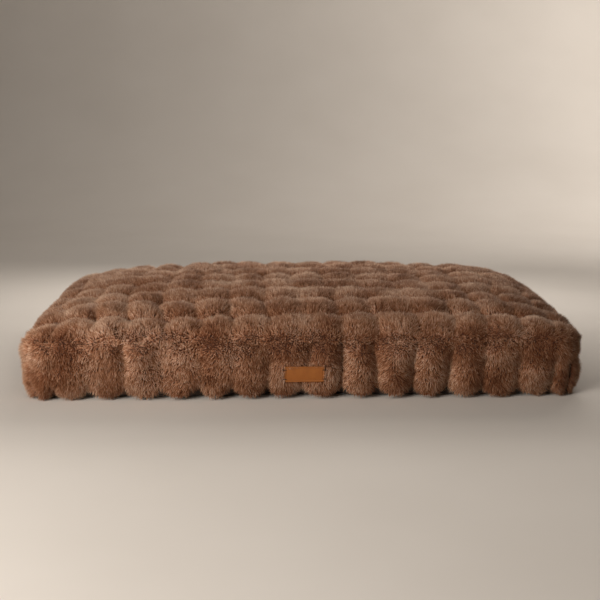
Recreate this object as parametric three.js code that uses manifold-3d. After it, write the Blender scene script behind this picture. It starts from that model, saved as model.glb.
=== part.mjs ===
// A rectangular pet bed: a zipped faux-fur cover with four borders, round a fibre-filled inner pad.
// Millimetres, +Z up. The front, which carries the leather label, faces -Y, and the zip is at the back.
import * as THREE from "three";
import { mergeVertices } from "three/addons/utils/BufferGeometryUtils.js";
import Module from "manifold-3d";

const wasm = await Module();
wasm.setup();

// The bed.
const LENGTH = 1000; // along X, at the top seam
const WIDTH = 700; // along Y, at the top seam
const BORDER_HEIGHT = 105; // from the floor to the top seam
const WALL_TUCK = 22; // how far the borders draw in from the top seam down to the floor
const CORNER_RADIUS = 60;
const EDGE_ROLL = 150; // how far in from the seam the top rolls over
const EDGE_RISE = 36; // how high that roll climbs
const CROWN = 25.4; // how much higher the middle of the top stands

// The cover.
const FUR_THICKNESS = 8; // knitted backing and pressed pile
const SEAM_THICKNESS = 3; // the same where it is sewn
const SEAM_GAP = 0.6; // between panels that are sewn together
const BASE_LIFT = 8; // from the floor to the bottom seam, and the padded base's thickness
const BASE_ROLL = 30; // how far in the base's edge curls up

// The inner pad.
const PAD_CLEARANCE = 1.5; // between the cover or its zip and the pad
const CASING_THICKNESS = 1.2;
const FILL_CLEARANCE = 0.5; // between the casing and its filling
const CASING_SEAM = 58; // height of the seam between the casing's two halves

// The zip.
const ZIP_LENGTH = 720; // of toothed chain
const NOTCH_MARGIN = 2; // past the puller's tip, where the border is cut away for the zip
const TAPE_THICKNESS = 1;
const TAPE_SHOWN = 11; // width of tape in sight beside the chain
const TAPE_LAP = 7; // width of the upper tape behind the border
const TAPE_CLEARANCE = 1; // between the upper tape and the border that it lies behind
const COIL_DEPTH = 2.6;
const COIL_HEIGHT = 2.4;
const COIL_GAP = 1; // between the two rows of coil
const CHAIN_CLEARANCE = 0.3; // between the coil and its tape, and between the coil and its stops
const STOP_LENGTH = 4;

// The slider and its puller.
const SLIDER_LENGTH = 14;
const PLATE_THICKNESS = 1.4;
const WEB_THICKNESS = 0.5; // the wall that joins the slider's plates, between the coils
const LIP_THICKNESS = 0.8;
const SLIDER_CLEARANCE = 0.4; // between the slider and the coils
const SLOT_CLEARANCE = 0.3; // between the slider's lips and the tapes
const BAIL_LENGTH = 9.5;
const BAIL_WIDTH = 2.6;
const BAIL_THICKNESS = 1.2;
const PULLER_LENGTH = 30; // from the pivot to the tip
const PULLER_THICKNESS = 1.6;
const PULLER_ARM = 1.3;
const PULLER_CLEARANCE = 0.4; // round the bail and over the slider
const GRIP_HOLE_RADIUS = 1.6;

// The leather label on the front and the care label at the back.
const LABEL_LENGTH = 70;
const LABEL_WIDTH = 30;
const LABEL_THICKNESS = 1.8;
const LABEL_RADIUS = 4;
const LABEL_HEIGHT = 48; // of its middle above the floor
const TACK_LENGTH = 7; // the bar tacks that sew down the label's two ends
const TACK_WIDTH = 1.6;
const TACK_THICKNESS = 1;
const TACK_RADIUS = 0.7;
const TACK_INSET = 6; // from the label's long edges
const TAG_LENGTH = 28;
const TAG_WIDTH = 34;
const TAG_THICKNESS = 0.6;
const TAG_OFFSET = 22; // from the end of the zip's notch to the care label
const PATCH_CLEARANCE = 0.4; // between a patch and the fur pressed down under and round it
const PATCH_SINK = 0.8; // how far a patch's face lies under the fur's surface

// What follows from them.
const lowSeam = BASE_LIFT + SEAM_GAP;
const chainHalf = COIL_GAP / 2 + COIL_HEIGHT;
const zipHeight = lowSeam + TAPE_SHOWN + CHAIN_CLEARANCE + chainHalf;
const notchTop = zipHeight + chainHalf + CHAIN_CLEARANCE + TAPE_SHOWN;
const coilCut = STOP_LENGTH + CHAIN_CLEARANCE;
const closedX = ZIP_LENGTH / 2 - coilCut - SLIDER_LENGTH / 2;
const notchHalf = closedX + PULLER_LENGTH + NOTCH_MARGIN;
const borderInside = WIDTH / 2 - wallInset(notchTop) - FUR_THICKNESS;
const zipPlane = borderInside - TAPE_CLEARANCE - TAPE_THICKNESS / 2;

// The slider's section is an I whose flanges turn in at their ends, round the coils and up to the tapes.
const sliderInside = COIL_DEPTH / 2 + SLIDER_CLEARANCE;
const sliderOutside = sliderInside + PLATE_THICKNESS;
const sliderLip = chainHalf + SLIDER_CLEARANCE + CHAIN_CLEARANCE;
const sliderHalf = sliderLip + LIP_THICKNESS;
const pullerRadius = Math.hypot(PULLER_THICKNESS, PULLER_THICKNESS) / 2;
const pivotLift = pullerRadius + PULLER_CLEARANCE;
const bailInside = pivotLift + pullerRadius + PULLER_CLEARANCE;
const bailOutside = bailInside + BAIL_THICKNESS;

// The pad's sides keep clear of the slider's back, which lies inside the border's slope there.
const lapInside = WIDTH / 2 - wallInset(notchTop + TAPE_LAP) - FUR_THICKNESS;
const padSideGap = lapInside - (zipPlane - sliderOutside) + PAD_CLEARANCE;

// How far the wall stands in from the top seam at a height.
function wallInset(z) {
  return WALL_TUCK * (1 - Math.sin((Math.PI / 2) * Math.min(1, z / BORDER_HEIGHT)));
}

// The wall's lean at a height, as an angle from upright.
function wallLean(z) {
  const turn = Math.PI / 2 / BORDER_HEIGHT;
  return Math.atan(WALL_TUCK * turn * Math.cos(turn * z));
}

// A quarter circle from 0 at the edge to 1 at a distance.
function roll(distance, reach) {
  const left = 1 - Math.min(1, Math.max(0, distance) / reach);
  return Math.sqrt(1 - left * left);
}

// The top's height over its seam, at shares u and v of its half length and half width.
function rise(u, v) {
  const alongX = roll((1 - Math.abs(u)) * (LENGTH / 2), EDGE_ROLL);
  const alongY = roll((1 - Math.abs(v)) * (WIDTH / 2), EDGE_ROLL);
  return EDGE_RISE * alongX * alongY + CROWN * (1 - u * u) * (1 - v * v);
}

function solidOf(geometry) {
  const bare = geometry.clone();
  bare.deleteAttribute("normal");
  bare.deleteAttribute("uv");
  const merged = mergeVertices(bare, 1e-3);
  const vertProperties = merged.attributes.position.array;
  const triVerts = new Uint32Array(merged.index.array);
  return new wasm.Manifold(new wasm.Mesh({ numProp: 3, vertProperties, triVerts }));
}

function geometryOf(solid) {
  const mesh = solid.getMesh();
  const geometry = new THREE.BufferGeometry();
  geometry.setAttribute("position", new THREE.BufferAttribute(mesh.vertProperties, 3));
  geometry.setIndex(new THREE.BufferAttribute(mesh.triVerts, 1));
  geometry.computeVertexNormals();
  return geometry;
}

const cut = (geometry, ...tools) =>
  geometryOf(tools.reduce((solid, tool) => solid.subtract(solidOf(tool)), solidOf(geometry)));

function boxBetween(low, high) {
  const size = high.map((value, i) => value - low[i]);
  return new THREE.BoxGeometry(...size).translate(...low.map((value, i) => value + size[i] / 2));
}

// A round-cornered pad. Its rows crowd towards the edges, where it curves. Each point gets its height
// and its inset from the top seam's outline from its shares u, v of the plan and w of the thickness.
function padGeometry([columns, rows, layers], heightAt, insetAt) {
  const geometry = new THREE.BoxGeometry(2, 2, 2, columns, rows, layers);
  const points = geometry.attributes.position;
  for (let i = 0; i < points.count; i++) {
    const u = Math.sin((points.getX(i) * Math.PI) / 2);
    const v = Math.sin((points.getY(i) * Math.PI) / 2);
    const w = (points.getZ(i) + 1) / 2;
    const inset = insetAt(w);
    const radius = Math.max(CORNER_RADIUS - inset, SEAM_THICKNESS);
    const halfWidth = WIDTH / 2 - inset;
    const y = v * halfWidth;
    const intoCorner = Math.max(0, Math.abs(y) - (halfWidth - radius));
    const reach = Math.sqrt(Math.max(0, radius * radius - intoCorner * intoCorner));
    points.setXYZ(i, u * (LENGTH / 2 - inset - radius + reach), y, heightAt(u, v, w));
  }
  geometry.computeVertexNormals();
  return geometry;
}

// The inner pad, or what lies at a depth under its surface.
function innerPad(depth) {
  const lowest = lowSeam + depth;
  const rim = BORDER_HEIGHT - PAD_CLEARANCE - depth;
  const wallHeight = (w) => lowest + w * (rim - lowest);
  return padGeometry(
    [16, 12, 4],
    (u, v, w) => wallHeight(w) + w * rise(u, v),
    (w) => wallInset(wallHeight(w)) + FUR_THICKNESS + padSideGap + depth,
  );
}

function topPanel() {
  const furAt = (u, v) => {
    const edge = Math.min((1 - Math.abs(u)) * LENGTH, (1 - Math.abs(v)) * WIDTH) / 2;
    return SEAM_THICKNESS + (FUR_THICKNESS - SEAM_THICKNESS) * roll(edge, EDGE_ROLL);
  };
  const underside = BORDER_HEIGHT + SEAM_GAP;
  return padGeometry([20, 16, 1], (u, v, w) => underside + rise(u, v) + w * furAt(u, v), () => 0);
}

function basePanel() {
  const inset = wallInset(BASE_LIFT);
  const curlAt = (u, v) => {
    const fromEnd = (1 - Math.abs(u)) * (LENGTH / 2 - inset);
    const fromSide = (1 - Math.abs(v)) * (WIDTH / 2 - inset);
    const share = 1 - Math.min(1, fromEnd / BASE_ROLL, fromSide / BASE_ROLL);
    return (BASE_LIFT - SEAM_THICKNESS) * share * share;
  };
  return padGeometry([16, 12, 1], (u, v, w) => w * BASE_LIFT + (1 - w) * curlAt(u, v), () => inset);
}

// A border that faces -Y: one side's straight run, and half of the round corner at each end.
function borderGeometry(sideLength, distance) {
  const run = sideLength / 2 - CORNER_RADIUS;
  const centre = -(distance - CORNER_RADIUS);
  const inner = CORNER_RADIUS - FUR_THICKNESS;
  const half = Math.PI / 4 - SEAM_GAP / 2 / inner;
  const down = -Math.PI / 2;
  const plan = new THREE.Shape();
  plan.absarc(-run, centre, CORNER_RADIUS, down - half, down, false);
  plan.absarc(run, centre, CORNER_RADIUS, down, down + half, false);
  plan.absarc(run, centre, inner, down + half, down, true);
  plan.absarc(-run, centre, inner, down, down - half, true);
  const depth = BORDER_HEIGHT - lowSeam;
  const geometry = new THREE.ExtrudeGeometry(plan, {
    depth,
    steps: 8,
    curveSegments: 5,
    bevelEnabled: false,
  }).translate(0, 0, lowSeam);
  const points = geometry.attributes.position;
  const outward = new THREE.Vector2();
  for (let i = 0; i < points.count; i++) {
    const x = points.getX(i);
    const y = points.getY(i);
    outward.set(x - Math.max(-run, Math.min(run, x)), y - centre).normalize();
    const inset = wallInset(points.getZ(i));
    points.setXY(i, x - outward.x * inset, y - outward.y * inset);
  }
  geometry.computeVertexNormals();
  return geometry;
}

// A round-cornered plate with its back at y = 0 and its face towards -Y.
function plate(length, width, thickness, radius) {
  const x = length / 2 - radius;
  const z = width / 2 - radius;
  const outline = new THREE.Shape();
  outline.absarc(x, z, radius, 0, Math.PI / 2, false);
  outline.absarc(-x, z, radius, Math.PI / 2, Math.PI, false);
  outline.absarc(-x, -z, radius, Math.PI, Math.PI * 1.5, false);
  outline.absarc(x, -z, radius, Math.PI * 1.5, Math.PI * 2, false);
  const options = { depth: thickness, bevelEnabled: false, curveSegments: 4 };
  return new THREE.ExtrudeGeometry(outline, options).rotateX(Math.PI / 2);
}

// Where a patch lies on a border that faces -Y: its back's middle, and its lean.
function patchPlace(x, z, thickness) {
  const surface = -(WIDTH / 2 - wallInset(z));
  return { position: [x, surface + PATCH_SINK + thickness, z], lean: wallLean(z) };
}

// The hollow that a patch presses into the fur.
function patchHollow(place, length, width) {
  const depth = FUR_THICKNESS;
  return boxBetween([-length / 2, -depth, -width / 2], [length / 2, PATCH_CLEARANCE, width / 2])
    .rotateX(place.lean)
    .translate(...place.position);
}

// A closed section in Y and Z, drawn as [z, y] points, run along X and centred on it.
function runAlongX(section, length) {
  return new THREE.ExtrudeGeometry(section, { depth: length, bevelEnabled: false, curveSegments: 10 })
    .rotateY(Math.PI / 2)
    .translate(-length / 2, 0, 0);
}

function coilGeometry(length) {
  const section = new THREE.Shape();
  section.absellipse(0, 0, COIL_HEIGHT / 2, COIL_DEPTH / 2, 0, 2 * Math.PI, false, 0);
  return runAlongX(section, length);
}

function sliderSection() {
  const slot = TAPE_THICKNESS / 2 + SLOT_CLEARANCE;
  const quarter = [
    [sliderHalf, sliderOutside],
    [sliderHalf, slot],
    [sliderLip, slot],
    [sliderLip, sliderInside],
    [WEB_THICKNESS / 2, sliderInside],
  ];
  const back = [...quarter].reverse();
  const outline = [
    ...quarter,
    ...back.map(([z, y]) => [z, -y]),
    ...quarter.map(([z, y]) => [-z, -y]),
    ...back.map(([z, y]) => [-z, y]),
  ];
  return new THREE.Shape(outline.map(([z, y]) => new THREE.Vector2(z, y)));
}

// The bail is an arch over the slider's outer plate, with its feet sunk into it.
function bailGeometry() {
  const half = BAIL_LENGTH / 2;
  const inner = half - BAIL_THICKNESS;
  const foot = -PLATE_THICKNESS / 2;
  const bend = BAIL_THICKNESS;
  const arch = new THREE.Shape();
  arch.moveTo(-half, foot);
  arch.lineTo(-inner, foot);
  arch.lineTo(-inner, bailInside);
  arch.lineTo(inner, bailInside);
  arch.lineTo(inner, foot);
  arch.lineTo(half, foot);
  arch.absarc(half - bend, bailOutside - bend, bend, 0, Math.PI / 2, false);
  arch.absarc(-half + bend, bailOutside - bend, bend, Math.PI / 2, Math.PI, false);
  const options = { depth: BAIL_WIDTH, bevelEnabled: false, curveSegments: 4 };
  return new THREE.ExtrudeGeometry(arch, options)
    .translate(0, 0, -BAIL_WIDTH / 2)
    .rotateX(Math.PI)
    .translate(0, -sliderOutside, 0);
}

const sliderGeometry = () =>
  geometryOf(solidOf(runAlongX(sliderSection(), SLIDER_LENGTH)).add(solidOf(bailGeometry())));

// The puller lies along -X from its pivot. Its cross bar runs under the bail, which its window clears.
function pullerGeometry() {
  const bar = PULLER_THICKNESS / 2;
  const windowHalf = BAIL_WIDTH / 2 + PULLER_CLEARANCE;
  const half = windowHalf + PULLER_ARM;
  const windowEnd = Math.hypot(BAIL_LENGTH / 2, bailOutside - pivotLift) + PULLER_CLEARANCE;
  const outline = new THREE.Shape();
  outline.moveTo(bar, -half);
  outline.lineTo(bar, half);
  outline.absarc(-PULLER_LENGTH + half, 0, half, Math.PI / 2, Math.PI * 1.5, false);
  const window = new THREE.Path();
  window.moveTo(-bar, -windowHalf);
  window.lineTo(-windowEnd, -windowHalf);
  window.lineTo(-windowEnd, windowHalf);
  window.lineTo(-bar, windowHalf);
  const grip = new THREE.Path();
  grip.absarc(-PULLER_LENGTH + half, 0, GRIP_HOLE_RADIUS, 0, Math.PI * 2, true);
  outline.holes.push(window, grip);
  const options = { depth: PULLER_THICKNESS, bevelEnabled: false, curveSegments: 8 };
  return new THREE.ExtrudeGeometry(outline, options)
    .rotateX(Math.PI / 2)
    .translate(0, PULLER_THICKNESS / 2, 0);
}

const material = (color, roughness, metalness = 0) =>
  new THREE.MeshStandardMaterial({ color, roughness, metalness });
const fur = material(0x7a5441, 0.95);
const baseCloth = material(0x3a2e28, 0.9);
const casingCloth = material(0xe9e4da, 0.9);
const fibre = material(0xf4f1ea, 1);
const tapeCloth = material(0x4a352a, 0.9);
const coilNylon = material(0x3c2b22, 0.5);
const darkMetal = material(0x4b4541, 0.35, 1);
const leather = material(0xa4622b, 0.6);
const thread = material(0x3a2416, 0.85);
const satin = material(0xe8e3d8, 0.5);

function piece(name, geometry, finish, position = [0, 0, 0]) {
  const mesh = new THREE.Mesh(geometry, finish);
  mesh.name = name;
  mesh.position.set(...position);
  return mesh;
}

function patchPiece(name, geometry, finish, place) {
  const mesh = piece(name, geometry, finish, place.position);
  mesh.rotation.x = place.lean;
  return mesh;
}

// The label, with a bar tack across each end of its upper and lower edges.
function frontSide() {
  const side = new THREE.Group();
  const place = patchPlace(0, LABEL_HEIGHT, LABEL_THICKNESS);
  const hollow = patchHollow(
    place,
    LABEL_LENGTH + TACK_LENGTH + 2 * PATCH_CLEARANCE,
    LABEL_WIDTH + 2 * PATCH_CLEARANCE,
  );
  side.add(piece("front_border", cut(borderGeometry(LENGTH, WIDTH / 2), hollow), fur));
  const label = plate(LABEL_LENGTH, LABEL_WIDTH, LABEL_THICKNESS, LABEL_RADIUS);
  side.add(patchPiece("leather_label", label, leather, place));
  for (const [end, x] of [["left", -1], ["right", 1]]) {
    for (const [edge, z] of [["lower", -1], ["upper", 1]]) {
      const tack = plate(TACK_LENGTH, TACK_WIDTH, TACK_THICKNESS, TACK_RADIUS).translate(
        (x * LABEL_LENGTH) / 2,
        -LABEL_THICKNESS - PATCH_CLEARANCE,
        z * (LABEL_WIDTH / 2 - TACK_INSET),
      );
      side.add(patchPiece(`label_tack_${end}_${edge}`, tack, thread, place));
    }
  }
  return side;
}

function zipTape(name, low, high) {
  const half = notchHalf - SEAM_GAP;
  const y = TAPE_THICKNESS / 2;
  return piece(name, boxBetween([-half, -y, low], [half, y, high]), tapeCloth, [0, -zipPlane, 0]);
}

// The zip, built as the border is, facing -Y. Its slider stands at the closed end.
function zipPieces() {
  const zip = new THREE.Group();
  const tapeEdge = chainHalf + CHAIN_CLEARANCE;
  zip.add(zipTape("zip_tape_lower", lowSeam, zipHeight - tapeEdge));
  zip.add(zipTape("zip_tape_upper", zipHeight + tapeEdge, notchTop + TAPE_LAP));
  const chainRow = (COIL_GAP + COIL_HEIGHT) / 2;
  const stopX = ZIP_LENGTH / 2 - STOP_LENGTH / 2;
  for (const [row, side] of [["lower", -1], ["upper", 1]]) {
    const z = zipHeight + side * chainRow;
    const coil = coilGeometry(ZIP_LENGTH - 2 * coilCut);
    zip.add(piece(`zip_coil_${row}`, coil, coilNylon, [0, -zipPlane, z]));
    const stop = new THREE.BoxGeometry(STOP_LENGTH, COIL_DEPTH, COIL_HEIGHT);
    zip.add(piece(`zip_top_stop_${row}`, stop, darkMetal, [stopX, -zipPlane, z]));
  }
  const bottomStop = new THREE.BoxGeometry(STOP_LENGTH, COIL_DEPTH, 2 * chainHalf);
  zip.add(piece("zip_bottom_stop", bottomStop, darkMetal, [-stopX, -zipPlane, zipHeight]));
  zip.add(piece("zip_slider", sliderGeometry(), darkMetal, [closedX, -zipPlane, zipHeight]));
  const pivotY = -zipPlane - sliderOutside - pivotLift;
  zip.add(piece("zip_puller", pullerGeometry(), darkMetal, [closedX, pivotY, zipHeight]));
  return zip;
}

function backSide() {
  const side = new THREE.Group();
  const tagX = -(notchHalf + TAG_OFFSET + TAG_LENGTH / 2);
  const tagPlace = patchPlace(tagX, lowSeam + TAG_WIDTH / 2, TAG_THICKNESS);
  const around = 2 * PATCH_CLEARANCE;
  const hollow = patchHollow(tagPlace, TAG_LENGTH + around, TAG_WIDTH + around);
  const notch = boxBetween([-notchHalf, -WIDTH, 0], [notchHalf, 0, notchTop]);
  side.add(piece("back_border", cut(borderGeometry(LENGTH, WIDTH / 2), notch, hollow), fur));
  const tag = plate(TAG_LENGTH, TAG_WIDTH, TAG_THICKNESS, TAG_THICKNESS);
  side.add(patchPiece("care_label", tag, satin, tagPlace));
  side.add(zipPieces());
  side.rotation.z = Math.PI;
  return side;
}

function endSide(name, turn) {
  const side = new THREE.Group();
  side.add(piece(name, borderGeometry(WIDTH, LENGTH / 2), fur));
  side.rotation.z = turn;
  return side;
}

// The inner pad's casing is two sewn halves, cut from one shell at its seam.
function innerPieces() {
  const pad = new THREE.Group();
  const shell = solidOf(innerPad(0)).subtract(solidOf(innerPad(CASING_THICKNESS)));
  const half = (low, high) =>
    geometryOf(shell.intersect(solidOf(boxBetween([-LENGTH, -WIDTH, low], [LENGTH, WIDTH, high]))));
  const seam = SEAM_GAP / 2;
  pad.add(piece("casing_lower", half(0, CASING_SEAM - seam), casingCloth));
  pad.add(piece("casing_upper", half(CASING_SEAM + seam, LENGTH), casingCloth));
  pad.add(piece("fibre_filling", innerPad(CASING_THICKNESS + FILL_CLEARANCE), fibre));
  return pad;
}

const bed = new THREE.Group();
bed.add(piece("top_panel", topPanel(), fur));
bed.add(piece("base_panel", basePanel(), baseCloth));
bed.add(frontSide(), endSide("right_border", Math.PI / 2));
bed.add(backSide(), endSide("left_border", -Math.PI / 2));
bed.add(innerPieces());

export default bed;
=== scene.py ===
import math

import bmesh
import bpy
import numpy as np
from mathutils import Matrix, Vector


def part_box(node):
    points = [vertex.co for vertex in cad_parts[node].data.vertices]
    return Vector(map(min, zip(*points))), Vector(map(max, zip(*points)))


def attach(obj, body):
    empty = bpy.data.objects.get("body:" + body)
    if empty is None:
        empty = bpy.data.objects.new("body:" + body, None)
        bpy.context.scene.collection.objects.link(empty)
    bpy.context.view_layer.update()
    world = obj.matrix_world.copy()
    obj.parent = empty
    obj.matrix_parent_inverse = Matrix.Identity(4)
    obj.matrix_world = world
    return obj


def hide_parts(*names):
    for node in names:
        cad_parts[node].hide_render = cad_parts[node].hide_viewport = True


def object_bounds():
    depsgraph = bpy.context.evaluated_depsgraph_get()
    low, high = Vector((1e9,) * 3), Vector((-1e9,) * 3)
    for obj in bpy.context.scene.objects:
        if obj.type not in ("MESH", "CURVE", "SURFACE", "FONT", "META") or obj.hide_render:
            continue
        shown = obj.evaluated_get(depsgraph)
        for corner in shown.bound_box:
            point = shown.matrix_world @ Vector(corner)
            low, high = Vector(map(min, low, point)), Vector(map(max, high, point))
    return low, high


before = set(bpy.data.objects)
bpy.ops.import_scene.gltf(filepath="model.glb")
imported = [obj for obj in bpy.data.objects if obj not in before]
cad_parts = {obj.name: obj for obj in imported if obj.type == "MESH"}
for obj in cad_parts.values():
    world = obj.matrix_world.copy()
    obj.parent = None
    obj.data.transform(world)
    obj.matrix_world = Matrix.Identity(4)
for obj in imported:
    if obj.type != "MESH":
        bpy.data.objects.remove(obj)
CAD_LOW, CAD_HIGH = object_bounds()

# The bed, from the frame. Metres.
HALF_LENGTH = CAD_HIGH.x
HALF_WIDTH = CAD_HIGH.y
SEAM_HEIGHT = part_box("front_border")[1].z
TOP_RISE = CAD_HIGH.z - SEAM_HEIGHT
CORNER_RADIUS = 0.060
WALL_TUCK = 0.022  # how far the borders draw in from the seam down to the floor
EDGE_ROLL = 0.150  # how far in from the seam the top rolls over
ROLL_SHARE = 0.62  # of the top's rise that the roll takes, and the crown has the rest

# The ruched fur cloth.
PILE_DEPTH = 0.0086  # from the cover's outside down to the cloth that carries the pile
CLOTH = 0.0018  # thickness of that cloth
COLUMN = 0.0636  # a bubble's size along X
ROWS = 9  # bubbles across the width
ROW = 2 * HALF_WIDTH / ROWS
LAST_COLUMN = 7  # the groove furthest from the middle, on each side
GROOVE_POWER = 2.6  # how round a bubble is: 2 is a parabola
WANDER = 0.012  # how far a groove strays from its straight line
WALL_ROW = 0.60  # where the borders' low bubbles end, as a share of the height
HEM_HEIGHT = 0.0025  # of the cloth's lower edge under a bubble
HEM_LIFT = 0.019  # how much higher that edge is at a groove
HEM_TUCK = 0.003  # how far the lowest of the borders turns under
HEM_ARCH = 0.005  # how much higher the hem is at the middle of a side than at the corners
WALL_FULL = 0.40  # of that drawing in that the cover keeps: the pile and bubbles fill the rest
WALL_BOW = 0.008  # how far the foot of a border strays in and out along its side
CORNER_SAG = 0.012  # how far the top sags at its back left corner
SAG_REACH = 0.34  # how far from that corner the sag runs
TOP_ACROSS = 0.0070  # depth of the top's grooves between columns
TOP_ALONG = 0.0120  # depth of its grooves between rows
TOP_PIT = 0.0045  # how much deeper they are where they cross
WALL_ACROSS = 0.0150  # the same on the borders
WALL_ALONG = 0.0035
WALL_PIT = 0.0040
WALL_BULGE = 0.003  # how far the borders bulge between seam and floor
SEAM_DIP = 0.0006  # how deep the seam round the top lies
SEAM_REACH = 0.006  # how far that dip runs to each side
LABEL_MARGIN = 0.0005  # of pile that is left on under the label's edge
LABEL_PRESS = 0.018  # how far round the label the cloth is drawn flat

# The pile.
SPARSE = 1.0  # how much wider tufts are where there are fewer
TUFT_GAP = 0.00166  # between one tuft and the next
TUFT_LENGTH = 0.0094
TUFT_WIDTH = 0.00165
TUFT_SUNK = 0.0008  # how deep a tuft's root is in the cloth
MOST_TUFTS = 49000  # in one piece
FLOOR_GAP = 0.0005  # that the lowest tips keep to the floor
RUFFLE = 0.34  # how much the pile leans this way and that, in patches
CLUMPING = 0.34  # how much its tips draw together
STRAYING = 0.15  # how much each tuft leans for itself
LIE_SHARE = 0.7  # of the bubbles' own slope that the pile follows

# The inner pad and the base.
PAD_DEPTH = 0.038  # from the cover's outside down to the pad's casing
PAD_SIDE = 0.056  # from the cover's outside in to the casing's seam
CASING_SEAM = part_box("casing_lower")[1].z
CASING = 0.0010
FILL_GAP = 0.0015
CASING_GRID = (34, 260)  # rings of points, and points around each
FILLING_GRID = (30, 220)
PUCKERS = 46  # gathers round the casing's seam
BASE_CLOTH = 0.0012
DOT_GAP = 0.018  # between the rubber dots of the base
DOT_RADIUS = 0.0024
DOT_HEIGHT = 0.0009
DOT_MARGIN = 0.085  # from the cover's outside to the first dots

# The zip, and the notch in the back border that it fills.
TAPE_LOW, TAPE_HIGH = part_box("zip_tape_upper")
TAPE_OUTSIDE = TAPE_HIGH.y
TAPE_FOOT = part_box("zip_tape_lower")[0].z
TAPE_GAP = (TAPE_LOW.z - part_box("zip_tape_lower")[1].z) / 2 - 0.0002  # beside the chain
CHAIN_END = 0.3606  # where the tapes start to draw together, past the chain
NOTCH_HALF = TAPE_HIGH.x + 0.0006
NOTCH_TOP = TAPE_HIGH.z - 0.007


# ---- numbers


def unit(vectors):
    size = np.linalg.norm(vectors, axis=-1, keepdims=True)
    return vectors / np.maximum(size, 1e-12)


def smooth(share):
    share = np.clip(share, 0, 1)
    return share * share * (3 - 2 * share)


def scattered(cells, seed):
    """A number from 0 to 1 for each cell of a lattice, the same each run."""
    a, b, c = (cells[..., k].astype(np.int64) for k in range(3))
    mixed = (a * 73856093) ^ (b * 19349663) ^ (c * 83492791) ^ (seed * 2654435761)
    mixed = (mixed ^ (mixed >> 13)) * 1274126177
    return ((mixed ^ (mixed >> 16)) & 0xFFFFF) / 0xFFFFF


def cloudy(points, size, seed):
    """Smooth noise from -1 to 1, whose features have a size."""
    scaled = points / size
    low = np.floor(scaled)
    share = smooth(scaled - low)
    total = np.zeros(len(points))
    for corner in np.ndindex(2, 2, 2):
        weight = np.prod(np.where(corner, share, 1 - share), axis=1)
        total += weight * scattered(low + corner, seed)
    return 2 * total - 1


def cloudy_vectors(points, size, seed):
    return np.stack([cloudy(points, size, seed + k) for k in range(3)], axis=1)


# ---- meshes


def new_object(name, data):
    piece = bpy.data.objects.new(name, data)
    bpy.context.scene.collection.objects.link(piece)
    return piece


def mesh_piece(name, points, faces):
    """A new smooth-shaded object of these points and faces, its faces all with as many corners."""
    faces = np.asarray(faces, np.int32)
    mesh = bpy.data.meshes.new(name)
    mesh.vertices.add(len(points))
    mesh.vertices.foreach_set("co", np.asarray(points, np.float32).ravel())
    mesh.loops.add(faces.size)
    mesh.loops.foreach_set("vertex_index", faces.ravel())
    mesh.polygons.add(len(faces))
    mesh.polygons.foreach_set("loop_start", np.arange(0, faces.size, faces.shape[1], dtype=np.int32))
    mesh.update(calc_edges=True)
    mesh.validate()
    mesh.polygons.foreach_set("use_smooth", [True] * len(mesh.polygons))
    return new_object(name, mesh)


def grid_faces(columns, rows):
    """The quads of a grid whose points run along its columns first."""
    first = (np.arange(rows - 1)[:, None] * columns + np.arange(columns - 1)).ravel()
    return np.stack([first, first + 1, first + 1 + columns, first + columns], axis=1)


def grid_normals(points, columns, rows):
    """Unit normals of a grid of points, on the side that its quads face."""
    grid = points.reshape(rows, columns, 3)
    along = np.gradient(grid, axis=1)
    across = np.gradient(grid, axis=0)
    return unit(np.cross(along, across)).reshape(-1, 3)


def select_only(piece):
    bpy.ops.object.select_all(action="DESELECT")
    piece.select_set(True)
    bpy.context.view_layer.objects.active = piece


def apply_modifier(piece, kind, **settings):
    select_only(piece)
    modifier = piece.modifiers.new(kind.title(), kind)
    for name, value in settings.items():
        setattr(modifier, name, value)
    bpy.ops.object.modifier_apply(modifier=modifier.name)


def with_thickness(piece, thickness):
    apply_modifier(piece, "SOLIDIFY", thickness=thickness, offset=-1)


def consistent_normals(piece):
    select_only(piece)
    bpy.ops.object.mode_set(mode="EDIT")
    bpy.ops.mesh.select_all(action="SELECT")
    bpy.ops.mesh.normals_make_consistent(inside=False)
    bpy.ops.object.mode_set(mode="OBJECT")


def dressed(piece, material, node=None, body="bed"):
    """Gives a piece its material and its body, and hides the CAD node that it replaces."""
    piece.data.materials.append(material)
    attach(piece, body)
    if node:
        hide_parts(node)
    return piece


# ---- the cover's form


def roll(distance):
    left = 1 - np.clip(distance / EDGE_ROLL, 0, 1)
    return np.sqrt(np.maximum(0, 1 - left * left))


def wall_inset(height):
    return WALL_TUCK * (1 - np.sin(math.pi / 2 * np.clip(height / SEAM_HEIGHT, 0, 1)))


def wall_lean(height):
    turn = math.pi / 2 / SEAM_HEIGHT
    return math.atan(WALL_TUCK * turn * math.cos(turn * height))


def from_groove(place, pitch, shift=0.0):
    """0 at the middle of a bubble and 1 at its grooves, which lie at whole pitches from the shift."""
    share = (place - shift) / pitch
    return np.abs(2 * (share - np.floor(share)) - 1)


def column_groove(x):
    """The same for the columns, whose outermost bubbles run on to the ends."""
    last = LAST_COLUMN * COLUMN
    inside = from_groove(x, COLUMN)
    beyond = np.clip((np.abs(x) - last) / (HALF_LENGTH - last), 0, 1)
    return np.where(np.abs(x) > last, np.abs(2 * beyond - 1), inside)


def row_groove(y):
    return from_groove(y, ROW, -HALF_WIDTH)


def strayed(points, seed):
    """The points again, moved a little so that a straight groove through them wanders."""
    broad = cloudy_vectors(points, 0.130, seed)
    fine = cloudy_vectors(points, 0.045, seed + 10)
    return points + WANDER * (0.8 * broad + 0.35 * fine)


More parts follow.
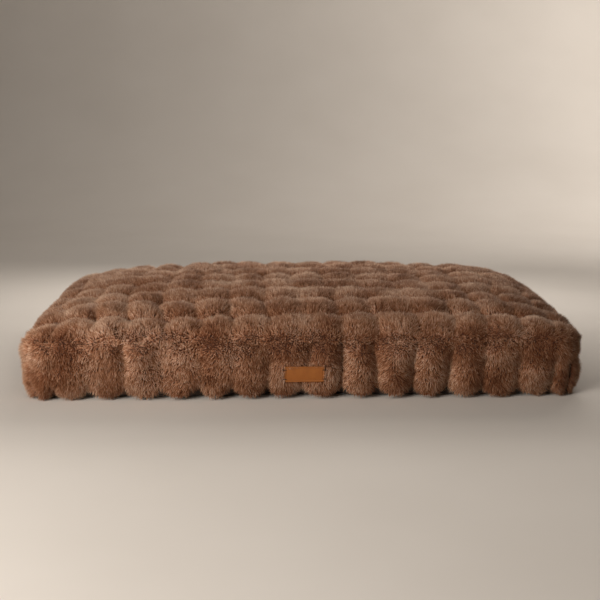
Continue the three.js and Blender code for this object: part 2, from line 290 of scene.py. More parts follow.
def bubble_depth(points, gx, gy, along_x, along_y, pit):
    """How far the cloth lies under a bubble's crest: grooves both ways, and a pit where they cross."""
    uneven = 1 + 0.45 * cloudy(points, 0.075, 21)
    fade_x = np.clip(0.95 + 1.1 * cloudy(points, 0.085, 27), 0.15, 1.8)
    fade_y = np.clip(1.05 + 0.6 * cloudy(points, 0.120, 28), 0.40, 1.5)
    depth = along_x * fade_x * gx**GROOVE_POWER + along_y * fade_y * gy**GROOVE_POWER
    depth += pit * (gx * gy) ** 2
    lumps = 0.0018 * cloudy(points, 0.032, 22) + 0.0035 * cloudy(points, 0.110, 23)
    return depth * uneven + lumps


def crowded(count):
    """Numbers from -1 to 1 that lie closer together towards both ends."""
    even = np.linspace(-1, 1, count)
    return 0.45 * even + 0.55 * np.sin(math.pi / 2 * even)


def top_form(columns, rows):
    """The cloth of the top, with its bubbles, as a grid of points."""
    u, v = (g.ravel() for g in np.meshgrid(crowded(columns), crowded(rows)))
    half_width = HALF_WIDTH - PILE_DEPTH
    radius = CORNER_RADIUS - PILE_DEPTH
    y = v * half_width
    into_corner = np.maximum(0, np.abs(y) - (half_width - radius))
    reach = np.sqrt(np.maximum(0, radius**2 - into_corner**2))
    x = u * (HALF_LENGTH - PILE_DEPTH - radius + reach)
    over_x = roll((1 - np.abs(u)) * HALF_LENGTH)
    over_y = roll((1 - np.abs(v)) * half_width)
    rise = TOP_RISE - PILE_DEPTH
    z = SEAM_HEIGHT + rise * ROLL_SHARE * over_x * over_y
    z += rise * (1 - ROLL_SHARE) * (1 - u * u) * (1 - v * v)
    from_corner = np.hypot(x + HALF_LENGTH, y - HALF_WIDTH)
    z -= CORNER_SAG * smooth(1 - from_corner / SAG_REACH) * np.minimum(over_x, over_y)
    flat = np.stack([x, y, z], axis=1)
    normals = grid_normals(flat, columns, rows)
    edge = np.minimum((1 - np.abs(u)) * HALF_LENGTH, (1 - np.abs(v)) * half_width)
    moved = strayed(flat, 3)
    moved[:, 0] += 0.015 * cloudy(flat * [0.3, 1, 0], 0.075, 35)
    at_edge = smooth(edge / 0.020)
    gy = row_groove(moved[:, 1]) * at_edge + (1 - at_edge) * 0.25
    depth = bubble_depth(flat, column_groove(moved[:, 0]), gy, TOP_ACROSS, TOP_ALONG, TOP_PIT)
    depth += SEAM_DIP * np.exp(-((edge / SEAM_REACH) ** 2))
    points = flat - normals * depth[:, None]
    return points, pile_lie(points, columns, rows, normals, LIE_SHARE * smooth(edge / 0.03))


def pile_lie(points, columns, rows, even, share):
    """Which way the pile stands: partly as the bubbles slope and partly as the form without them does."""
    bubbly = grid_normals(points, columns, rows)
    share = np.broadcast_to(share, len(points))[:, None]
    return unit(bubbly * share + even * (1 - share))


def wall_form(side_length, distance, columns, rows, groove_at, form_seed):
    """The cloth of a border that faces -Y, as a grid of points: a straight run and two half corners."""
    run = side_length / 2 - CORNER_RADIUS
    centre = -(distance - CORNER_RADIUS)
    quarter = CORNER_RADIUS * math.pi / 4
    s, q = np.meshgrid(np.linspace(-run - quarter, run + quarter, columns), np.linspace(0, 1, rows))
    s, q = s.ravel(), q.ravel()
    turn = np.clip(np.abs(s) - run, 0, quarter) / CORNER_RADIUS * np.sign(s)
    outward = np.stack([np.sin(turn), -np.cos(turn), np.zeros_like(turn)], axis=1)
    base = np.stack([np.clip(s, -run, run), np.full_like(s, centre), np.zeros_like(s)], axis=1)
    upright = base + outward * CORNER_RADIUS
    upright[:, 2] = q * SEAM_HEIGHT
    seeded = upright + np.array([0, 0, form_seed])
    moved = strayed(seeded, 5) - seeded
    corner = smooth((np.abs(s) - run - quarter + 0.012) / 0.012)
    height = q * SEAM_HEIGHT
    leaning = 0.014 * cloudy(seeded * [1, 1, 0], 0.07, 24) * smooth(height / SEAM_HEIGHT)
    gx = np.maximum(groove_at(s + moved[:, 0] + leaning), corner)
    hem = HEM_HEIGHT + HEM_ARCH * (1 - (s / (side_length / 2)) ** 2)
    z = height + (hem + HEM_LIFT * gx**2 * smooth(1 - height / 0.045)) * (1 - q)
    share = np.clip(q + moved[:, 2] / SEAM_HEIGHT * 0.6, 0, 1)
    low, high = share / WALL_ROW, (share - WALL_ROW) / (1 - WALL_ROW)
    gy = np.where(share < WALL_ROW, np.abs(2 * low - 1), np.abs(2 * high - 1))
    gy *= 1 - 0.75 * smooth(1 - (1 - q) / 0.14)
    tucked = HEM_TUCK * smooth(1 - height / 0.026) ** 1.5
    tucked += WALL_BOW * cloudy(seeded * [1, 1, 0.3], 0.19, 29) * smooth(1 - height / 0.07)
    creased = smooth(0.5 + s / side_length + 0.8 * cloudy(seeded, 0.14, 25))
    patch = 0.25 + 0.80 * creased - 0.10 * smooth(height / 0.06)
    across = WALL_ACROSS * np.maximum(patch, 1 - height / 0.035)
    depth = bubble_depth(seeded, gx, gy * smooth(height / 0.02), across, WALL_ALONG, WALL_PIT)
    depth += 0.004 * cloudy(seeded, 0.050, 26) * smooth(height / 0.02) * smooth((1 - q) / 0.15)
    depth += SEAM_DIP * np.exp(-(((SEAM_HEIGHT - height) / SEAM_REACH) ** 2))
    under_seam = WALL_BULGE * np.sin(math.pi * q) ** 0.8
    inset = wall_inset(z) * WALL_FULL
    place = base + outward * (CORNER_RADIUS - inset - PILE_DEPTH - tucked - depth + under_seam)[:, None]
    place[:, 2] = z
    even = unit(outward + np.array([0, 0, -1]) * smooth(1 - height / 0.03)[:, None] * 0.6)
    return place, pile_lie(place, columns, rows, even, LIE_SHARE * smooth((1 - q) / 0.2))


def turned(points, angle):
    c, s = math.cos(angle), math.sin(angle)
    return points @ np.array([[c, s, 0], [-s, c, 0], [0, 0, 1]])


# ---- the pile


def spread_over(points, faces, gap, seed):
    """Roots spread evenly over a grid's quads: their places, and where each lies on which triangle."""
    triangles = np.concatenate([faces[:, [0, 1, 2]], faces[:, [0, 2, 3]]])
    triangles = triangles[np.argsort(triangles[:, 0], kind="stable")]
    a, b, c = (points[triangles[:, k]] for k in range(3))
    area = np.linalg.norm(np.cross(b - a, c - a), axis=1) / 2
    total = np.cumsum(area) / gap**2
    count = int(total[-1])
    on = np.searchsorted(total, np.arange(count) + 0.5)
    rng = np.random.default_rng(seed)
    r, t = rng.random((2, count))
    over = r + t > 1
    r, t = np.where(over, 1 - r, r), np.where(over, 1 - t, t)
    shares = np.stack([1 - r - t, r, t], axis=1)
    return triangles[on], shares


def tuft_points(roots, normals, rng, comb, length, width):
    """Four points for each tuft: three round its root and its tip. Also each one's normal."""
    count = len(roots)
    ruffle = cloudy_vectors(roots, 0.024, 31) * RUFFLE + cloudy_vectors(roots, 0.0065, 41) * CLUMPING
    direction = unit(normals + comb + ruffle + rng.normal(0, STRAYING, (count, 3)))
    shy = np.maximum(0, 0.40 - (direction * normals).sum(1))
    direction = unit(direction + normals * shy[:, None])
    side = unit(np.cross(direction, rng.normal(0, 1, (count, 3))))
    other = np.cross(direction, side)
    root = roots - direction * TUFT_SUNK
    ring = []
    for k in range(3):
        turn = 2 * math.pi * k / 3
        ring.append(root + (side * math.cos(turn) + other * math.sin(turn)) * (width / 2)[:, None])
    tip = roots + direction * length[:, None]
    shading = [unit(normals + unit(corner - root) * 0.55) for corner in ring]
    shading.append(unit(normals * 0.8 + direction * 0.6))
    points = np.stack([*ring, tip], axis=1)
    points[:, :, 2] = np.maximum(points[:, :, 2], FLOOR_GAP)
    return points.reshape(-1, 3), np.stack(shading, axis=1).reshape(-1, 3)


TUFT_FACES = np.array([[0, 1, 3], [1, 2, 3], [2, 0, 3], [2, 1, 0]])
TONES = 256  # how many shades of tuft the pile has


def tuft_map(tone):
    """Where each face corner of each tuft lies on its map: across by its tone and up to its tip."""
    across = np.array([[0.1, 0.5, 0.5], [0.5, 0.9, 0.5], [0.9, 0.1, 0.5], [0.9, 0.5, 0.1]]) / TONES
    up = 0.01 + 0.98 * np.array([[0, 0, 1], [0, 0, 1], [0, 0, 1], [0, 0, 0.004]])
    u = (tone * (TONES - 1) / TONES)[:, None, None] + across
    return np.stack([u, np.broadcast_to(up, u.shape)], axis=-1)


def point_values(mesh, name, values):
    attribute = mesh.attributes.new(name, "FLOAT", "POINT")
    attribute.data.foreach_set("value", np.asarray(values, np.float32))


def pile_piece(name, roots, normals, seed, comb):
    """One piece of pile, made of closed three-sided tufts."""
    rng = np.random.default_rng(seed)
    count = len(roots)
    length = TUFT_LENGTH * (1 + 0.16 * rng.normal(0, 1, count) + 0.14 * cloudy(roots, 0.018, 51))
    length = np.clip(length, 0.5 * TUFT_LENGTH, 1.35 * TUFT_LENGTH)
    width = TUFT_WIDTH * SPARSE * rng.uniform(0.8, 1.25, count)
    points, shading = tuft_points(roots, normals, rng, comb, length, width)
    faces = (np.arange(count)[:, None, None] * 4 + TUFT_FACES).reshape(-1, 3)
    piece = mesh_piece(name, points, faces)
    mesh = piece.data
    custom = mesh.attributes.new("custom_normal", "FLOAT_VECTOR", "POINT")
    custom.data.foreach_set("vector", shading.astype(np.float32).ravel())
    tone = 0.46 + 0.22 * cloudy(roots, 0.008, 61) + 0.36 * cloudy(roots, 0.042, 62)
    tone += rng.normal(0, 0.24, count)
    tone = np.round(np.clip(tone, 0, 1) * (TONES - 1)) / (TONES - 1)
    point_values(mesh, "tone", np.repeat(tone, 4))
    # 0 at a tuft's root and 1 at its tip: the pile's material paints shade towards the roots with it.
    point_values(mesh, "along", np.tile([0, 0, 0, 1], count))
    baked = mesh.uv_layers.new(name="OFBake")
    baked.data.foreach_set("uv", tuft_map(tone).astype(np.float32).ravel())
    return dressed(piece, PILE)


# ---- materials


def new_material(name):
    material = bpy.data.materials.new(name)
    material.use_nodes = True
    nodes = material.node_tree.nodes
    return material, nodes, material.node_tree.links, nodes["Principled BSDF"]


def add_node(nodes, kind, **settings):
    """A new node. A setting that names one of its inputs, with _ for a space, gives that input's value."""
    node = nodes.new(kind)
    for name, value in settings.items():
        title = name.replace("_", " ")
        if title in node.inputs:
            node.inputs[title].default_value = value
        else:
            setattr(node, name, value)
    return node


def join(links, source, output, target, entry):
    links.new(source.outputs[output], target.inputs[entry])


def ramp(nodes, stops):
    node = nodes.new("ShaderNodeValToRGB")
    elements = node.color_ramp.elements
    while len(elements) < len(stops):
        elements.new(0.5)
    for element, (place, colour) in zip(elements, stops):
        element.position = place
        element.color = (*colour, 1)
    return node


def new_group(name, inputs, outputs):
    """A shader node group with these sockets, given as names and kinds, and its two end nodes."""
    tree = bpy.data.node_groups.new(name, "ShaderNodeTree")
    for title, kind in inputs:
        tree.interface.new_socket(title, in_out="INPUT", socket_type=kind)
    for title, kind in outputs:
        tree.interface.new_socket(title, in_out="OUTPUT", socket_type=kind)
    return tree, tree.nodes, tree.links, tree.nodes.new("NodeGroupInput"), tree.nodes.new("NodeGroupOutput")


def weave_group():
    """Crossing threads: a colour that darkens between them, painted shade in the gaps, and their height."""
    sockets = [("Vector", "NodeSocketVector"), ("Threads", "NodeSocketFloat"),
               ("Thread", "NodeSocketColor"), ("Shaded Gap", "NodeSocketColor")]
    results = [("Color", "NodeSocketColor"), ("Height", "NodeSocketFloat")]
    tree, nodes, links, start, end = new_group("weave", sockets, results)
    scaled = add_node(nodes, "ShaderNodeVectorMath", operation="SCALE")
    join(links, start, "Vector", scaled, 0)
    join(links, start, "Threads", scaled, "Scale")
    split = nodes.new("ShaderNodeSeparateXYZ")
    join(links, scaled, 0, split, 0)
    upright = add_node(nodes, "ShaderNodeMath", operation="ADD")
    join(links, split, "Y", upright, 0)
    join(links, split, "Z", upright, 1)
    waves = []
    for source in (split.outputs["X"], upright.outputs[0]):
        wave = add_node(nodes, "ShaderNodeMath", operation="SINE")
        links.new(source, wave.inputs[0])
        size = add_node(nodes, "ShaderNodeMath", operation="ABSOLUTE")
        join(links, wave, 0, size, 0)
        waves.append(size)
    height = add_node(nodes, "ShaderNodeMath", operation="MULTIPLY")
    for k, wave in enumerate(waves):
        join(links, wave, 0, height, k)
    fleck = add_node(nodes, "ShaderNodeTexNoise", Scale=0.6, Detail=2.0)
    join(links, scaled, 0, fleck, "Vector")
    uneven = add_node(nodes, "ShaderNodeMath", operation="MULTIPLY_ADD")
    uneven.inputs[1].default_value = 0.5
    join(links, fleck, "Fac", uneven, 0)
    join(links, height, 0, uneven, 2)
    # Thread colour on the crests, painted shade in the gaps between the threads.
    mix = add_node(nodes, "ShaderNodeMix", data_type="RGBA")
    join(links, uneven, 0, mix, "Factor")
    join(links, start, "Shaded Gap", mix, 6)
    join(links, start, "Thread", mix, 7)
    join(links, mix, 2, end, "Color")
    join(links, height, 0, end, "Height")
    return tree


def grain_group():
    """Soft mottling over a colour, and a fine grain: for leather, nylon and lacquer."""
    sockets = [("Vector", "NodeSocketVector"), ("Mottle Scale", "NodeSocketFloat"),
               ("Grain Scale", "NodeSocketFloat"), ("Light", "NodeSocketColor"), ("Dark", "NodeSocketColor")]
    results = [("Color", "NodeSocketColor"), ("Height", "NodeSocketFloat")]
    tree, nodes, links, start, end = new_group("grain", sockets, results)
    mottle = add_node(nodes, "ShaderNodeTexNoise", Detail=4.0)
    cells = add_node(nodes, "ShaderNodeTexVoronoi")
    for node, scale in ((mottle, "Mottle Scale"), (cells, "Grain Scale")):
        join(links, start, "Vector", node, "Vector")
        join(links, start, scale, node, "Scale")
    mix = add_node(nodes, "ShaderNodeMix", data_type="RGBA")
    join(links, mottle, "Fac", mix, "Factor")
    join(links, start, "Dark", mix, 6)
    join(links, start, "Light", mix, 7)
    join(links, mix, 2, end, "Color")
    join(links, cells, "Distance", end, "Height")
    return tree


def grouped_material(name, tree, values, roughness, bump, metallic=0.0):
    """A material whose colour and bump come from a shared group, read at the piece's own place."""
    material, nodes, links, shader = new_material(name)
    place = nodes.new("ShaderNodeTexCoord")
    group = nodes.new("ShaderNodeGroup")
    group.node_tree = tree
    join(links, place, "Object", group, "Vector")
    for title, value in values.items():
        group.inputs[title].default_value = (*value, 1) if isinstance(value, tuple) else value
    join(links, group, "Color", shader, "Base Color")
    relief = add_node(nodes, "ShaderNodeBump", Strength=0.6, Distance=bump)
    join(links, group, "Height", relief, "Height")
    join(links, relief, "Normal", shader, "Normal")
    shader.inputs["Roughness"].default_value = roughness
    shader.inputs["Metallic"].default_value = metallic
    return material


def woven(name, threads, thread, gap, roughness, bump):
    # The gap colour is painted shade between the threads.
    values = {"Threads": threads, "Thread": thread, "Shaded Gap": gap}
    return grouped_material(name, WEAVE, values, roughness, bump)


def grained(name, mottle, grain, light, dark, roughness, bump, metallic=0.0):
    values = {"Mottle Scale": mottle, "Grain Scale": grain, "Light": light, "Dark": dark}
    return grouped_material(name, GRAIN, values, roughness, bump, metallic)


def pile_material():
    """Darker at the roots than at the tips, painted shade between the tufts; each tuft a little warmer,
    cooler, lighter or darker.
    """
    material, nodes, links, shader = new_material("faux_fur_pile")
    tone = add_node(nodes, "ShaderNodeAttribute", attribute_name="tone")
    along = add_node(nodes, "ShaderNodeAttribute", attribute_name="along")
    tips = ramp(nodes, TIP_TONES)
    roots = ramp(nodes, ROOT_SHADE_TONES)
    mix = add_node(nodes, "ShaderNodeMix", data_type="RGBA")
    join(links, tone, "Fac", tips, "Fac")
    join(links, tone, "Fac", roots, "Fac")
    # The colour darkens steeply from tip to root: painted shade down among the tufts.
    rise = add_node(nodes, "ShaderNodeMath", operation="POWER")
    rise.inputs[1].default_value = 1.5
    join(links, along, "Fac", rise, 0)
    join(links, rise, 0, mix, "Factor")
    join(links, roots, "Color", mix, 6)
    join(links, tips, "Color", mix, 7)
    join(links, mix, 2, shader, "Base Color")
    shader.inputs["Roughness"].default_value = 0.85
    shader.inputs["Specular IOR Level"].default_value = 0.2
    shader.inputs["Sheen Weight"].default_value = 0.22
    shader.inputs["Sheen Roughness"].default_value = 0.40
    shader.inputs["Sheen Tint"].default_value = (0.90, 0.76, 0.64, 1)
    return material


TIP_TONES = [(0.0, (0.270, 0.104, 0.044)), (0.35, (0.47, 0.230, 0.122)),
             (0.65, (0.66, 0.385, 0.228)), (1.0, (0.94, 0.690, 0.500))]
# The roots' colours are painted shade, dark where the tufts shade one another.
ROOT_SHADE_TONES = [(0.0, (0.085, 0.019, 0.004)), (1.0, (0.26, 0.076, 0.026))]
WEAVE = weave_group()
GRAIN = grain_group()
PILE = pile_material()
# The second colour of each weave is painted shade between its threads.
BACKING = woven("faux_fur_backing", 3600.0, (0.095, 0.042, 0.024), (0.05, 0.02, 0.01), 0.95, 0.0002)
BASE_WEAVE = woven("base_cloth", 2600.0, (0.085, 0.062, 0.048), (0.030, 0.022, 0.017), 0.9, 0.0003)
CASING_CLOTH = woven("casing_cloth", 3000.0, (0.80, 0.77, 0.71), (0.60, 0.57, 0.51), 0.9, 0.0002)
TAPE_WEAVE = woven("zip_tape", 5200.0, (0.105, 0.060, 0.040), (0.038, 0.020, 0.013), 0.85, 0.0002)
THREAD = woven("label_thread", 9000.0, (0.060, 0.028, 0.015), (0.020, 0.009, 0.005), 0.8, 0.0001)
SATIN = woven("care_satin", 7000.0, (0.82, 0.79, 0.72), (0.66, 0.62, 0.55), 0.38, 0.00005)
FIBRE = grained("fibre", 60.0, 260.0, (0.90, 0.89, 0.85), (0.74, 0.72, 0.67), 1.0, 0.002)
LEATHER = grained("label_leather", 90.0, 1700.0, (0.36, 0.118, 0.018), (0.22, 0.062, 0.007), 0.50, 0.00012)
RUBBER = grained("base_rubber", 300.0, 2000.0, (0.018, 0.016, 0.015), (0.008, 0.007, 0.006), 0.7, 0.00005)
NYLON = grained("zip_coil", 500.0, 3000.0, (0.085, 0.050, 0.034), (0.040, 0.022, 0.015), 0.42, 0.00003)
ZIP_METAL = grained("zip_metal", 400.0, 2400.0, (0.150, 0.125, 0.105), (0.060, 0.048, 0.040), 0.36, 0.00003,
                    metallic=1.0)


# ---- cover pieces


def backing_cloth(name, node, points, faces):
    """The cloth that carries the pile: a sheet whose outside is a grid of points."""
    piece = mesh_piece(name, points, faces)
    with_thickness(piece, CLOTH)
    return dressed(piece, BACKING, node)


def pile_on(name, points, normals, faces, seed, combed, seam_comb, skip):
    """The pile of one panel: combed one way over most of it and another way along the top seam."""
    corners, shares = spread_over(points, faces, TUFT_GAP, seed)
    roots = (points[corners] * shares[:, :, None]).sum(axis=1)
    facing = unit((normals[corners] * shares[:, :, None]).sum(axis=1))
    keep = ~skip(roots)
    roots, facing = roots[keep], facing[keep]
    away = smooth(np.abs(roots[:, 2] - SEAM_HEIGHT) / 0.030)[:, None]
    comb = np.asarray(combed, float) * away + np.array([0, 0, seam_comb]) * (1 - away)
    longest = 0 if np.ptp(points[:, 0]) > np.ptp(points[:, 1]) else 1
    order = np.argsort(roots[:, longest], kind="stable")
    parts = max(1, math.ceil(len(roots) / MOST_TUFTS))
    made = []
    for k, chosen in enumerate(np.array_split(order, parts)):
        title = f"{name}_pile" if parts == 1 else f"{name}_pile_{k + 1}"
        made.append(pile_piece(title, roots[chosen], facing[chosen], seed + k, comb[chosen]))
    return made


def nowhere(points):
    return np.zeros(len(points), bool)


def top_cover():
    columns, rows = 180, 130
    points, lie = top_form(columns, rows)
    faces = grid_faces(columns, rows)
    cloth = backing_cloth("top_cloth", "top_panel", points, faces)
    piles = pile_on("top", points, lie, faces, 101, (0, -0.16, -0.04), -0.30, nowhere)


def behind_label(points):
    """Under the leather label, but for a margin that the pile round it hides."""
    low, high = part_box("leather_label")
    x, y, z = points.T
    inside = (np.abs(x) < high.x - LABEL_MARGIN) & (y < 0)
    return inside & (z > low.z + LABEL_MARGIN) & (z < high.z - LABEL_MARGIN)


def pressed_under_label(points, columns):
    """The cloth comes forward where the label is sewn to it."""
    low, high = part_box("leather_label")
    centre = (low.z + high.z) / 2
    x, y, z = points.T
    across = smooth(1 - (np.abs(x) - high.x) / LABEL_PRESS)
    up = smooth(1 - (np.abs(z - centre) - (high.z - low.z) / 2) / LABEL_PRESS)
    flat = -(HALF_WIDTH - wall_inset(z) - 0.0065)
    y += across * up * (flat - y)
    return points


def border(name, side_length, distance, groove_at, turn, seed, shaped=None, open_at=None, skip=nowhere):
    """One border's cloth and pile, formed facing -Y and turned to its side. Gives its lower edge."""
    columns, rows = int(side_length / 0.0055), 26
    points, normals = wall_form(side_length, distance, columns, rows, groove_at, seed * 0.01)
    if shaped:
        points = shaped(points, columns)
    faces = grid_faces(columns, rows)
    if open_at:
        faces = faces[~open_at(points[faces].mean(axis=1))]
    points, normals = turned(points, turn), turned(normals, turn)
    cloth = backing_cloth(f"{name}_cloth", f"{name}_border", points, faces)
    piles = pile_on(name, points, normals, faces, seed, (0, 0, -0.40), 0.10, skip)
    return points[:columns - 1]


# ---- round the zip's notch


def in_notch(points):
    x, _, z = points.T
    return (np.abs(x) < NOTCH_HALF) & (z < NOTCH_TOP)


def sewn_to_zip(points, columns):
    """The cloth round the notch lies flat on the zip's tape, and its cut edge is straight."""
    x, y, z = points.T
    near = (np.abs(z - NOTCH_TOP) < 0.0024) & (np.abs(x) < NOTCH_HALF + 0.003)
    z[near] = NOTCH_TOP
    side = (np.abs(np.abs(x) - NOTCH_HALF) < 0.0029) & (z <= NOTCH_TOP)
    x[side] = np.sign(x[side]) * NOTCH_HALF
    across = smooth(1 - (np.abs(x) - NOTCH_HALF) / 0.012)
    up = smooth(1 - (z - NOTCH_TOP) / 0.022)
    forward = -(TAPE_OUTSIDE + CLOTH + 0.0006)
    y += across * up * (np.minimum(y, forward) - y)
    foot = points[:columns]
    under = np.abs(foot[:, 0]) < NOTCH_HALF + 0.004
    foot[under, 1] = -(TAPE_OUTSIDE + 0.0012)
    foot[under, 2] = TAPE_FOOT - 0.0010
    return points


def off_back(points):
    """Where the back border carries no pile: round the care label."""
    low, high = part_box("care_label")
    x, y, z = points.T
    return (x > low.x) & (x < high.x) & (y > 0) & (z > low.z) & (z < high.z - 0.002)


# ---- base


def ring_faces(around, rings):
    """The quads between closed rings of points, the first ring outermost."""
    k = np.arange(around)
    after = (k + 1) % around
    first = np.stack([k, around + k, around + after, after], axis=1)
    return np.concatenate([first + r * around for r in range(rings - 1)])


def ring_at(k, around):
    return range(k * around, (k + 1) * around)


def capped(piece, ring):
    """Closes the last ring of a piece with a fan."""
    select_only(piece)
    mesh = bmesh.new()
    mesh.from_mesh(piece.data)
    mesh.verts.ensure_lookup_table()
    edge = [mesh.verts[i] for i in ring]
    middle = mesh.verts.new(sum((v.co for v in edge), Vector()) / len(edge))
    for a, b in zip(edge, edge[1:] + edge[:1]):
        mesh.faces.new((a, b, middle))
    bmesh.ops.recalc_face_normals(mesh, faces=mesh.faces)
    for face in mesh.faces:
        face.smooth = True
    mesh.to_mesh(piece.data)
    mesh.free()


def base_cover(hem):
    """The base cloth: flat on the floor, with its edge curled up to the hem of the borders."""
    hem = hem[np.argsort(np.arctan2(hem[:, 1], hem[:, 0]), kind="stable")]
    hem = (np.roll(hem, 1, axis=0) + 2 * hem + np.roll(hem, -1, axis=0)) / 4
    shares = [1.0, 0.99, 0.98, 0.965, 0.95, 0.93, 0.85, 0.7, 0.5, 0.3, 0.1]
    rings = []
    for share in shares:
        ring = hem * (share - 0.004)
        curl = smooth((share - 0.93) / 0.07)
        ring[:, 2] = DOT_HEIGHT + (hem[:, 2] + 0.001 - DOT_HEIGHT) * curl
        rings.append(ring)
    piece = mesh_piece("base_cloth", np.concatenate(rings), ring_faces(len(hem), len(rings)))
    capped(piece, ring_at(len(rings) - 1, len(hem)))
    consistent_normals(piece)
    if piece.data.polygons[len(piece.data.polygons) - 1].normal.z > 0:
        piece.data.flip_normals()
    with_thickness(piece, BASE_CLOTH)
    dressed(piece, BASE_WEAVE, "base_panel")
    dots = rubber_dots()


def dome():
    """One rubber dot: a low dome that hangs from z = 0, closed on top."""
    bpy.ops.mesh.primitive_uv_sphere_add(segments=8, ring_count=6, radius=DOT_RADIUS)
    piece = bpy.context.object
    bpy.ops.object.mode_set(mode="EDIT")
    bpy.ops.mesh.select_all(action="SELECT")
    bpy.ops.mesh.bisect(plane_co=(0, 0, 0), plane_no=(0, 0, 1), clear_outer=True, use_fill=True)
    bpy.ops.mesh.select_all(action="SELECT")
    bpy.ops.transform.resize(value=(1, 1, DOT_HEIGHT / DOT_RADIUS), center_override=(0, 0, 0))
    bpy.ops.object.mode_set(mode="OBJECT")
    return piece


def copies(piece, name, places):
    """One piece that holds a copy of another's mesh at each place, and the first is removed."""
    mesh = piece.data
    points = np.empty(len(mesh.vertices) * 3, np.float32)
    mesh.vertices.foreach_get("co", points)
    points = points.reshape(-1, 3)
    mesh.calc_loop_triangles()
    faces = np.empty(len(mesh.loop_triangles) * 3, np.int32)
    mesh.loop_triangles.foreach_get("vertices", faces)
    faces = faces.reshape(-1, 3)
    many = (points[None] + np.asarray(places)[:, None]).reshape(-1, 3)
    all_faces = (faces[None] + np.arange(len(places))[:, None, None] * len(points)).reshape(-1, 3)
    bpy.data.objects.remove(piece)
    return mesh_piece(name, many, all_faces)


def rubber_dots():
    reach_x = HALF_LENGTH - DOT_MARGIN
    reach_y = HALF_WIDTH - DOT_MARGIN
    xs = np.arange(-reach_x, reach_x, DOT_GAP)
    ys = np.arange(-reach_y, reach_y, DOT_GAP)
    places = [(x + DOT_GAP / 4 * (-1) ** k, y, DOT_HEIGHT + 0.0002) for k, y in enumerate(ys) for x in xs]
    return dressed(copies(dome(), "base_rubber_dots", places), RUBBER)


# ---- inner pad


def pillow_rings(height, inset, grid, pucker):
    """Rings of a pillow's half, from its seam to its pole."""
    rings, around = grid
    turn = np.linspace(0, 2 * math.pi, around, endpoint=False)
    power = 0.30
    plan_x = np.sign(np.cos(turn)) * np.abs(np.cos(turn)) ** power
    plan_y = np.sign(np.sin(turn)) * np.abs(np.sin(turn)) ** power
    made = []
    for k in range(rings):
        rise = math.pi / 2 * k / (rings - 0.5)
        size = math.cos(rise) ** 0.42
        wave = pucker * np.sin(turn * PUCKERS + 2 * np.sin(turn * 5)) * math.exp(-k / (0.16 * rings))
        x = plan_x * (HALF_LENGTH - inset) * size
        y = plan_y * (HALF_WIDTH - inset) * size
        z = CASING_SEAM + height * math.sin(rise) ** 0.9 + wave * np.sign(height)
        made.append(np.stack([x, y, np.broadcast_to(z, x.shape)], axis=1))
    return made


def casing_half(name, node, height):
    rings, around = CASING_GRID
    points = np.concatenate(pillow_rings(height, PAD_SIDE, CASING_GRID, 0.0018))
    piece = mesh_piece(name, points, ring_faces(around, rings))
    capped(piece, ring_at(rings - 1, around))
    outwards(piece)
    with_thickness(piece, CASING)
    dressed(piece, CASING_CLOTH, node)


def outwards(piece):
    """Turns the faces of an open bowl so that they look away from the pad's middle."""
    consistent_normals(piece)
    face = piece.data.polygons[0]
    away = face.center - Vector((0, 0, CASING_SEAM))
    if face.normal.dot(away) < 0:
        piece.data.flip_normals()


def inner_pad():
    upper = TOP_RISE + SEAM_HEIGHT - PAD_DEPTH - CASING_SEAM
    lower = CASING_SEAM - DOT_HEIGHT - BASE_CLOTH - 0.002
    around = FILLING_GRID[1]
    shrink = CASING + FILL_GAP
    above = pillow_rings(upper - shrink, PAD_SIDE + shrink, FILLING_GRID, 0.0)
    below = pillow_rings(-(lower - shrink), PAD_SIDE + shrink, FILLING_GRID, 0.0)
    rings = above[::-1] + below[1:]
    points = np.concatenate(rings)
    points = points + unit(points - [0, 0, CASING_SEAM]) * (0.0012 * cloudy(points, 0.05, 91))[:, None]
    piece = mesh_piece("inner_filling", points, ring_faces(around, len(rings)))
    capped(piece, ring_at(0, around))
    capped(piece, ring_at(len(rings) - 1, around))
    consistent_normals(piece)
    dressed(piece, FIBRE, "fibre_filling")
    casing_half("inner_casing_upper", "casing_upper", upper)
    casing_half("inner_casing_lower", "casing_lower", -lower)


# ---- small pieces


def select_faces(piece, wanted):
    """In edit mode, selects only the faces whose normal passes a test."""
    bpy.ops.mesh.select_mode(type="FACE")
    bpy.ops.mesh.select_all(action="DESELECT")
    mesh = bmesh.from_edit_mesh(piece.data)
    for face in mesh.faces:
        face.select_set(wanted(face.normal))
    bmesh.update_edit_mesh(piece.data)


def select_edges(piece, wanted):
    bpy.ops.mesh.select_mode(type="EDGE")
    bpy.ops.mesh.select_all(action="DESELECT")
    mesh = bmesh.from_edit_mesh(piece.data)
    for edge in mesh.edges:
        edge.select_set(wanted(*(v.co for v in edge.verts)))
    bmesh.update_edit_mesh(piece.data)


def block(name, size):
    bpy.ops.object.select_all(action="DESELECT")
    bpy.ops.mesh.primitive_cube_add(size=1)
    piece = bpy.context.object
    piece.name = name
    piece.scale = size
    bpy.ops.object.transform_apply(location=False, rotation=False, scale=True)
    return piece


def sewn_on(piece, centre):
    """Leans a piece as the border does at that height, and puts it there."""
    piece.data.transform(Matrix.Translation(centre) @ Matrix.Rotation(wall_lean(centre.z), 4, "X"))


def rounded_edges(piece, width, segments, sharp, shaded):
    """Rounds the edges sharper than one angle, and shades smooth across those under another. Degrees."""
    limit = math.radians(sharp)
    apply_modifier(piece, "BEVEL", width=width, segments=segments, limit_method="ANGLE", angle_limit=limit)
    bpy.ops.object.shade_smooth_by_angle(angle=math.radians(shaded))


